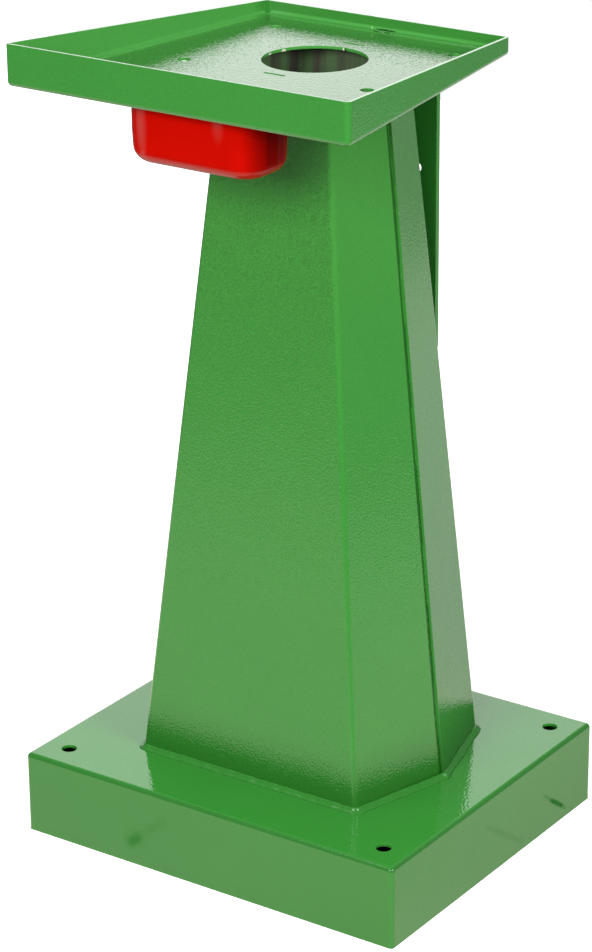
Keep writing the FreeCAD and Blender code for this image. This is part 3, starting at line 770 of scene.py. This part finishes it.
def rounded_loop(corners, radius, step):
    """Points and outward normals round a level outline, evenly spaced, with rounded corners."""
    places = []
    count = len(corners)
    for i, here in enumerate(corners):
        following = corners[(i + 1) % count]
        back, ahead, half = corner_arms(corners[i - 1], here, following)
        reach = radius / math.tan(half)
        centre = here + (back + ahead).normalized() * radius / math.sin(half)
        start = here + back * reach
        turn = math.pi - 2 * half
        steps = max(4, round(radius * turn / step))
        for k in range(steps + 1):
            spoke = Matrix.Rotation(turn * k / steps, 3, "Z") @ (start - centre)
            places.append((centre + spoke, spoke.normalized()))
        next_back, _, next_half = corner_arms(here, following, corners[(i + 2) % count])
        next_reach = radius / math.tan(next_half)
        begin = here + ahead * reach
        end = following + next_back * next_reach
        steps = max(2, round((end - begin).length / step))
        outward = Vector((ahead.y, -ahead.x, 0))
        for k in range(1, steps):
            places.append((begin.lerp(end, k / steps), outward))
    return places


def ring_bead(name, node, corners, level, leg, rising, seed):
    """A hand-laid fillet bead: hollow and even round the front half, full and lumpy behind."""
    middle_y = sum(corner.y for corner in corners) / len(corners)
    points = []
    travelled = 0.0
    places = rounded_loop(corners, COLUMN_BEND, BEAD_STEP)
    for i, (place, outward) in enumerate(places):
        travelled += (place - places[i - 1][0]).length if i else 0.0
        rear = place.y > middle_y
        leg_wander = REAR_LEG_WANDER if rear else FRONT_LEG_WANDER
        crown_wander = REAR_CROWN_WANDER if rear else FRONT_CROWN_WANDER
        own_leg = leg * (1 + leg_wander * ripple(travelled, seed))
        crown = leg * (REAR_CROWN if rear else FRONT_CROWN)
        crown *= 1 + crown_wander * ripple(travelled, seed + 1)
        section = [(-BEAD_SINK, 0.0)]
        for k in range(SECTION_STEPS + 1):
            share = k / SECTION_STEPS
            swell = crown * math.sin(math.pi * share)
            out = own_leg * share + swell * math.sqrt(0.5)
            up = own_leg * (1 - share) + swell * math.sqrt(0.5)
            section.append((out - (BEAD_SINK if k == 0 else 0.0), up))
        for out, up in section:
            points.append(place + outward * out + Vector((0, 0, level + rising * up)))
    faces = ring_faces(len(places), SECTION_STEPS + 2, closed=True)
    if rising < 0:
        faces = [tuple(reversed(face)) for face in faces]
    bead = new_piece(name, points, faces, weld_coat, "stand")
    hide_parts(node)


def column_plan(face, half_depth, middle_y):
    """The six corners of the column's outline, counter-clockwise seen from above."""
    lap = face + FRONT_FLARE * half_depth + LAP
    rear = lap - REAR_FLARE * half_depth
    right = [(face, -half_depth), (lap, 0), (rear, half_depth)]
    left = [(-x, y) for x, y in reversed(right)]
    return [Vector((x, middle_y + y, 0)) for x, y in right + left]


def make_ring_beads():
    low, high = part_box("column_foot_weld")
    foot_plan = column_plan(FOOT_FACE, FOOT_HALF_DEPTH, (low.y + high.y) / 2)
    ring_bead("foot_bead", "column_foot_weld", foot_plan, low.z, high.z - low.z, 1, 1.0)
    low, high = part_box("column_top_weld")
    top_plan = column_plan(TOP_FACE, TOP_HALF_DEPTH, (low.y + high.y) / 2)
    ring_bead("top_bead", "column_top_weld", top_plan, high.z, high.z - low.z, -1, 4.0)


make_pot()
make_ring_beads()

# ---- Floor, light and camera ----------------------------------------------------------------

FLOOR_HALF = 2.5
FLOOR_PAPER = (0.8, 0.8, 0.8, 1)
FLOOR_BOUNCE = (0.22, 0.22, 0.22, 1)

# The floor's own glow in plain view: beside the stand, what it gains further out, and where.
FLOOR_GLOW = 0.6
FLOOR_GAIN = 0.4
FLOOR_GAIN_RANGE = (0.7, 1.6)

# The floor as the gloss mirrors it, and its warm tint, which fades towards the rear.
FLOOR_GLOSS = 0.5
FLOOR_WARM = (1, 0.98, 0.8, 1)
WARM_FADE = 0.7
WARM_FADE_RANGE = (0.2, 0.7)

# Brighter pools in that mirrored floor: middle, where they start to fade, where they end, gain.
LIGHT_POOLS = [
    ((-0.45, -0.7, 0), 0.6, 1.5, 1.1),
    ((1.0, 0.35, 0), 0.45, 0.85, 1.0),
    ((0.3, 1.4, 0), 0.7, 1.5, 0.33),
]

# Strength of the surroundings, what they gain towards the ceiling, and where.
SURROUND = 0.33
CEILING = 0.1
CEILING_RISE = (0.2, 0.6)

LAMP_AIM = 0.45

CAMERA_PLACE = (1.726533, -2.502662, 1.601050)
CAMERA_AZIMUTH = 34.7155
CAMERA_DROP = 21.7716
CAMERA_ROLL = -0.5025
CAMERA_LENS = 122.7646


def make_floor():
    """Pale sheet that shows white and keeps the stand's shadow, with a glow of its own.

    Light that the sheet scatters is dimmer than it looks, and gloss mirrors only its glow.
    """
    half = FLOOR_HALF
    mesh = bpy.data.meshes.new("floor")
    corners = [(-half, -half, 0), (half, -half, 0), (half, half, 0), (-half, half, 0)]
    mesh.from_pydata(corners, [], [(0, 1, 2, 3)])
    floor = bpy.data.objects.new("floor", mesh)
    bpy.context.scene.collection.objects.link(floor)
    material, tree, shader, place = new_material("pale_floor")
    seen = put(tree, "ShaderNodeLightPath").outputs
    along = split(tree, place)
    mirrored = calc(tree, "MAXIMUM", seen["Is Glossy Ray"], seen["Is Transmission Ray"])
    paper = blend_colours(tree, seen["Is Diffuse Ray"], FLOOR_PAPER, FLOOR_BOUNCE)
    paper = blend_colours(tree, mirrored, paper, (0, 0, 0, 1))
    warm = calc(tree, "MULTIPLY_ADD", ramp(tree, along["Y"], *WARM_FADE_RANGE), -WARM_FADE, 1.0)
    tint = blend_colours(tree, calc(tree, "MULTIPLY", mirrored, warm), WHITE, FLOOR_WARM)

    further = ramp(tree, measure(tree, "LENGTH", place), *FLOOR_GAIN_RANGE)
    glow = calc(tree, "MULTIPLY_ADD", further, FLOOR_GAIN, FLOOR_GLOW)
    glow = calc(tree, "MULTIPLY", glow, seen["Is Camera Ray"])
    mirror = FLOOR_GLOSS
    for spot, near, far, gain in LIGHT_POOLS:
        pool = fall(tree, measure(tree, "DISTANCE", place, spot), near, far)
        mirror = calc(tree, "MULTIPLY_ADD", pool, gain, mirror)
    glow = calc(tree, "MULTIPLY_ADD", mirrored, mirror, glow)

    low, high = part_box("base_box")
    middle = (low + high) / 2
    open_x = calc(tree, "GREATER_THAN", calc(tree, "ABSOLUTE", along["X"]), high.x)
    beyond = gap_between(tree, along["Y"], middle.y)
    open_y = calc(tree, "GREATER_THAN", beyond, high.y - middle.y)
    uncovered = calc(tree, "MAXIMUM", open_x, open_y)
    give(
        tree, shader,
        Base_Color=paper,
        Roughness=0.9,
        Emission_Color=tint,
        Emission_Strength=calc(tree, "MULTIPLY", glow, uncovered),
    )
    mesh.materials.append(material)


def make_world():
    """White to the camera, and dimmer as light, a little brighter towards the ceiling."""
    world = bpy.data.worlds.new("studio")
    world.use_nodes = True
    tree = world.node_tree
    seen = put(tree, "ShaderNodeLightPath").outputs
    background = tree.nodes["Background"]
    background.inputs["Color"].default_value = WHITE
    rise = split(tree, put(tree, "ShaderNodeTexCoord").outputs["Generated"])["Z"]
    lit = calc(tree, "MULTIPLY_ADD", ramp(tree, rise, *CEILING_RISE), CEILING, SURROUND)
    shown = calc(tree, "MAXIMUM", seen["Is Camera Ray"], lit)
    tree.links.new(shown, background.inputs["Strength"])
    bpy.context.scene.world = world


def softbox(name, azimuth, elevation, distance, width, height, glow):
    """A large lamp aimed at the stand, glow times as bright as a white wall in plain light.

    Azimuth is measured from straight in front, towards the right, and both angles in degrees.
    """
    turn = math.radians(azimuth)
    rise = math.radians(elevation)
    towards = Vector(
        (math.sin(turn) * math.cos(rise), -math.cos(turn) * math.cos(rise), math.sin(rise))
    )
    light = bpy.data.lights.new(name, "AREA")
    light.shape = "RECTANGLE"
    light.size = width
    light.size_y = height
    light.energy = glow * math.pi * width * height
    lamp = bpy.data.objects.new(name, light)
    lamp.location = Vector((0, 0, LAMP_AIM)) + towards * distance
    lamp.rotation_euler = (-towards).to_track_quat("-Z", "Y").to_euler()
    lamp.visible_camera = False
    bpy.context.scene.collection.objects.link(lamp)


def make_camera():
    camera = bpy.data.cameras.new("camera")
    camera.lens = CAMERA_LENS
    viewer = bpy.data.objects.new("camera", camera)
    turn = math.radians(CAMERA_AZIMUTH)
    drop = math.radians(CAMERA_DROP)
    roll = math.radians(CAMERA_ROLL)
    ahead = Vector(
        (-math.sin(turn) * math.cos(drop), math.cos(turn) * math.cos(drop), -math.sin(drop))
    )
    level = Vector((math.cos(turn), math.sin(turn), 0))
    rising = level.cross(ahead)
    right = level * math.cos(roll) + rising * math.sin(roll)
    up = rising * math.cos(roll) - level * math.sin(roll)
    axes = Matrix((right, up, -ahead)).transposed()
    viewer.matrix_world = Matrix.Translation(CAMERA_PLACE) @ axes.to_4x4()
    bpy.context.scene.collection.objects.link(viewer)
    bpy.context.scene.camera = viewer


make_floor()
make_world()
softbox("back_softbox", azimuth=217, elevation=14, distance=4.3, width=3.7, height=2.4, glow=1.85)
softbox("key_softbox", azimuth=11, elevation=28, distance=3.4, width=1.8, height=1.2, glow=15.3)
softbox("side_softbox", azimuth=80, elevation=25, distance=2.4, width=0.9, height=0.75, glow=18.4)
softbox("top_softbox", azimuth=-40, elevation=62, distance=3.2, width=1.2, height=1.0, glow=6)
make_camera()
bpy.context.scene.view_settings.view_transform = "Standard"
